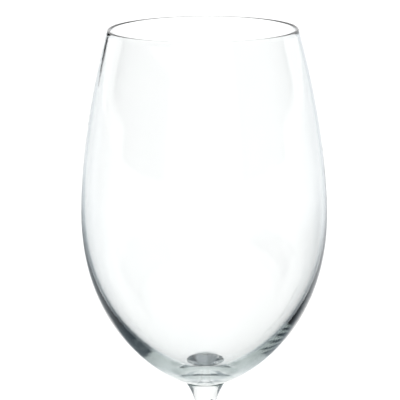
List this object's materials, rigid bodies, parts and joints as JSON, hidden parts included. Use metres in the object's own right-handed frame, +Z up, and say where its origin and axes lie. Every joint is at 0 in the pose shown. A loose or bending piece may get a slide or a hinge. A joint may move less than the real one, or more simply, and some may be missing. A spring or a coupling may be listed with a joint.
{
  "type": "wine glass",
  "caption": "Tall-bowled stemmed red wine glass in clear crystal, with a tapering bowl, a slender flared stem and a round disc foot.",
  "frame": {"origin": "centre of the foot's resting plane", "axes": "+Z up along the axis of the glass, from the foot to the rim; X and Y are alike, because every piece is a solid of revolution"},
  "size_m": [0.092, 0.092, 0.23],
  "materials": {
    "crystal_bowl": "fire-polished, clear",
    "crystal_stem": "drawn, clear",
    "crystal_foot": "pressed and polished, clear"
  },
  "bodies": {
    "root": {"bowl": "crystal_bowl", "stem": "crystal_stem", "foot": "crystal_foot"}
  },
  "joints": []
}
